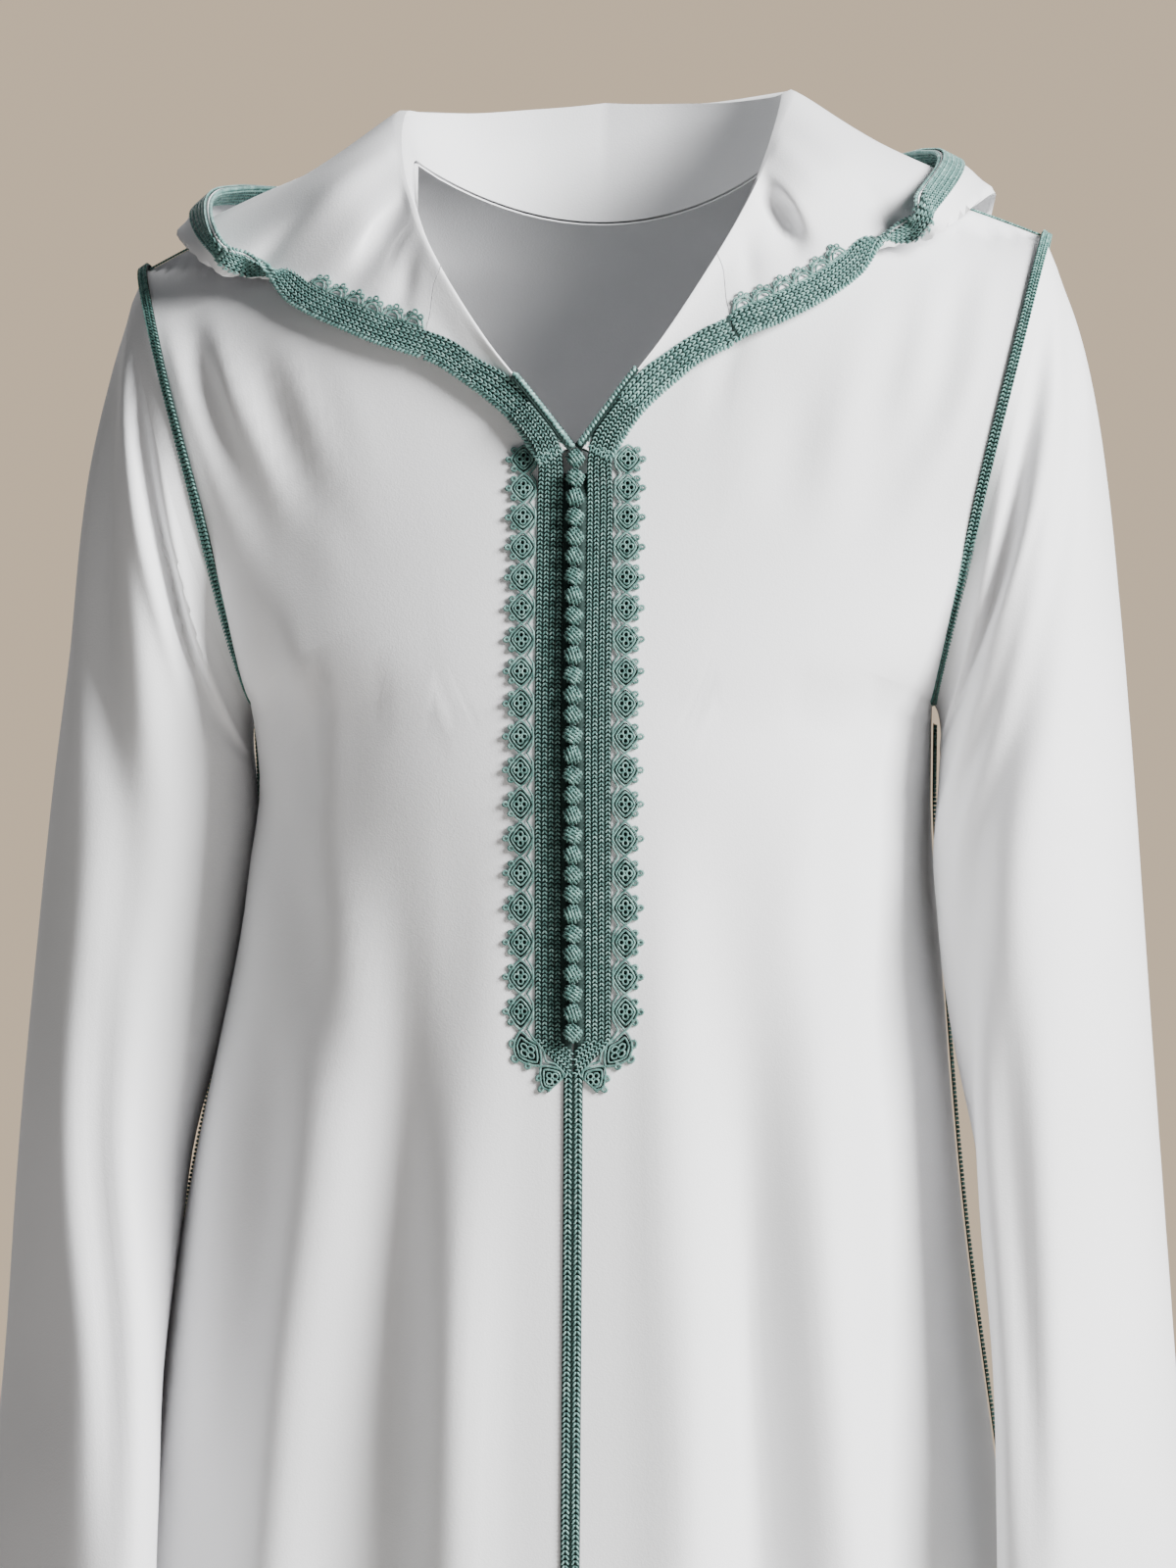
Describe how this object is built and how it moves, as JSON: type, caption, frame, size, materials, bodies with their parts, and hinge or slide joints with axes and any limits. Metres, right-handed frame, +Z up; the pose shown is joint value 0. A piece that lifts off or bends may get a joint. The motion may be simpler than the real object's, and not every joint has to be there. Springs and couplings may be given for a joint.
{
  "type": "hooded robe",
  "caption": "Long hooded djellaba robe, worn and hollow, hood laid back as a wide cowl, V neck, long sleeves, teal braid, lace and knot buttons down the front",
  "frame": {"origin": "midway between the two points where the neckline meets the shoulder seams, where the shoulders hold the robe up", "axes": "+Z up, the front faces -Y, +X is the wearer's left"},
  "size_m": [0.6138, 0.4302, 1.3822],
  "materials": {
    "crepe": "matt white crepe",
    "braid": "lustrous teal plaited braid",
    "lace": "teal crochet lace",
    "cord": "teal twisted cord",
    "button": "teal knotted cord"
  },
  "bodies": {
    "root": {"front_left": "crepe", "front_right": "crepe", "back": "crepe", "sleeve_left": "crepe", "sleeve_right": "crepe", "front_facing_left": "crepe", "front_facing_right": "crepe", "hood": "crepe", "hood_braid": "braid", "neck_braid_left": "braid", "neck_braid_right": "braid", "placket_braid_left": "braid", "placket_braid_right": "braid", "centre_braid": "braid", "placket_lace_left": "lace", "placket_lace_right": "lace", "hood_lace_left": "lace", "hood_lace_right": "lace", "armhole_cord_left": "cord", "armhole_cord_right": "cord", "side_cord_left": "cord", "side_cord_right": "cord", "shoulder_cord_left": "cord", "shoulder_cord_right": "cord", "button_01": "button", "button_02": "button", "button_03": "button", "button_04": "button", "button_05": "button", "button_06": "button", "button_07": "button", "button_08": "button", "button_09": "button", "button_10": "button", "button_11": "button", "button_12": "button", "button_13": "button", "button_14": "button", "button_15": "button", "button_16": "button", "button_17": "button", "button_18": "button", "button_19": "button", "button_20": "button", "button_21": "button", "button_22": "button", "button_23": "button", "button_24": "button", "button_25": "button", "button_26": "button", "button_27": "button", "button_28": "button", "button_29": "button", "button_30": "button"}
  },
  "joints": []
}
